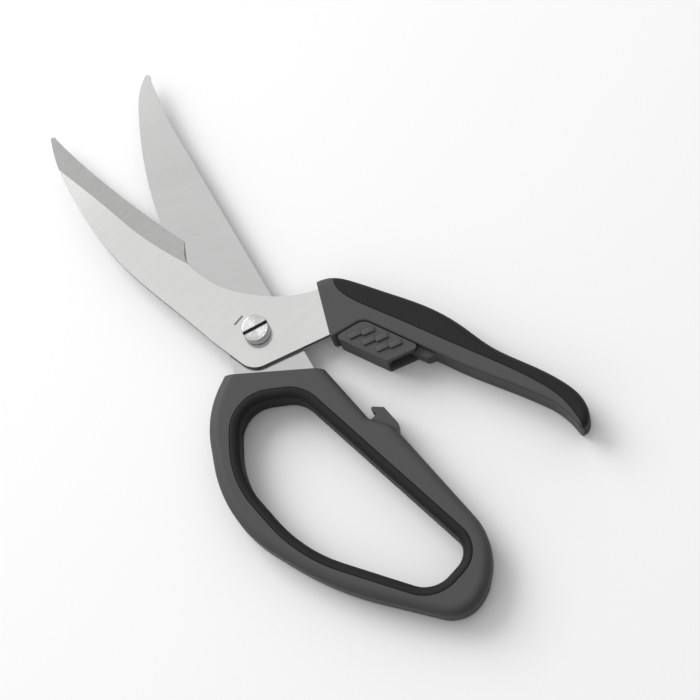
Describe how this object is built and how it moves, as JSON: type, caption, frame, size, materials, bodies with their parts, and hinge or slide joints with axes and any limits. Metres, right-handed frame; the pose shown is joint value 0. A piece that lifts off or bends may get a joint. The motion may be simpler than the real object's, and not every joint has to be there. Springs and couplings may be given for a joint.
{
  "type": "kitchen shears",
  "caption": "Poultry shears with curved blades, a closed finger bow with a soft liner, a soft-topped thumb lever, a sprung pivot and a sliding lock.",
  "frame": {"origin": "on the pivot axis, in the plane of the handles' flat backs, on which the shears lie", "axes": "+X from the blades to the handles, parallel to the rear blade's straight spine; +Y from the finger bow to the thumb lever; +Z along the pivot axis, towards the slotted screw head"},
  "size_m": [0.2497, 0.1332, 0.0153],
  "materials": {
    "blade_steel": "satin, ground along the edges",
    "pivot_steel": "turned",
    "spring_steel": "plain strip",
    "handle_plastic": "fine matte grain",
    "slider_plastic": "fine matte grain",
    "soft_grip": "soft matte"
  },
  "bodies": {
    "bow_half": {"bow_handle": "handle_plastic", "bow_liner": "soft_grip", "rear_blade": "blade_steel", "pivot_nut": "pivot_steel", "pivot_screw": "pivot_steel", "spring_washer": "pivot_steel", "opening_spring": "spring_steel"},
    "lever_half": {"lever_handle": "handle_plastic", "lever_grip": "soft_grip", "front_blade": "blade_steel", "click_spring": "spring_steel"},
    "slider": {"lock_slider": "slider_plastic"}
  },
  "joints": [
    {"name": "handle_pivot", "type": "hinge", "parent": "bow_half", "child": "lever_half", "pos_m": [0, 0, 0], "axis": [0, 0, 1], "range_deg": [-22.4, 0], "stiffness_Nm_per_rad": 0.6, "springref_deg": 25.21, "deforming": ["opening_spring"]},
    {"name": "lock_slide", "type": "slide", "parent": "lever_half", "child": "slider", "axis": [0.8352, 0.5499, 0], "range_m": [0, 0.0036], "deforming": ["click_spring"]}
  ]
}
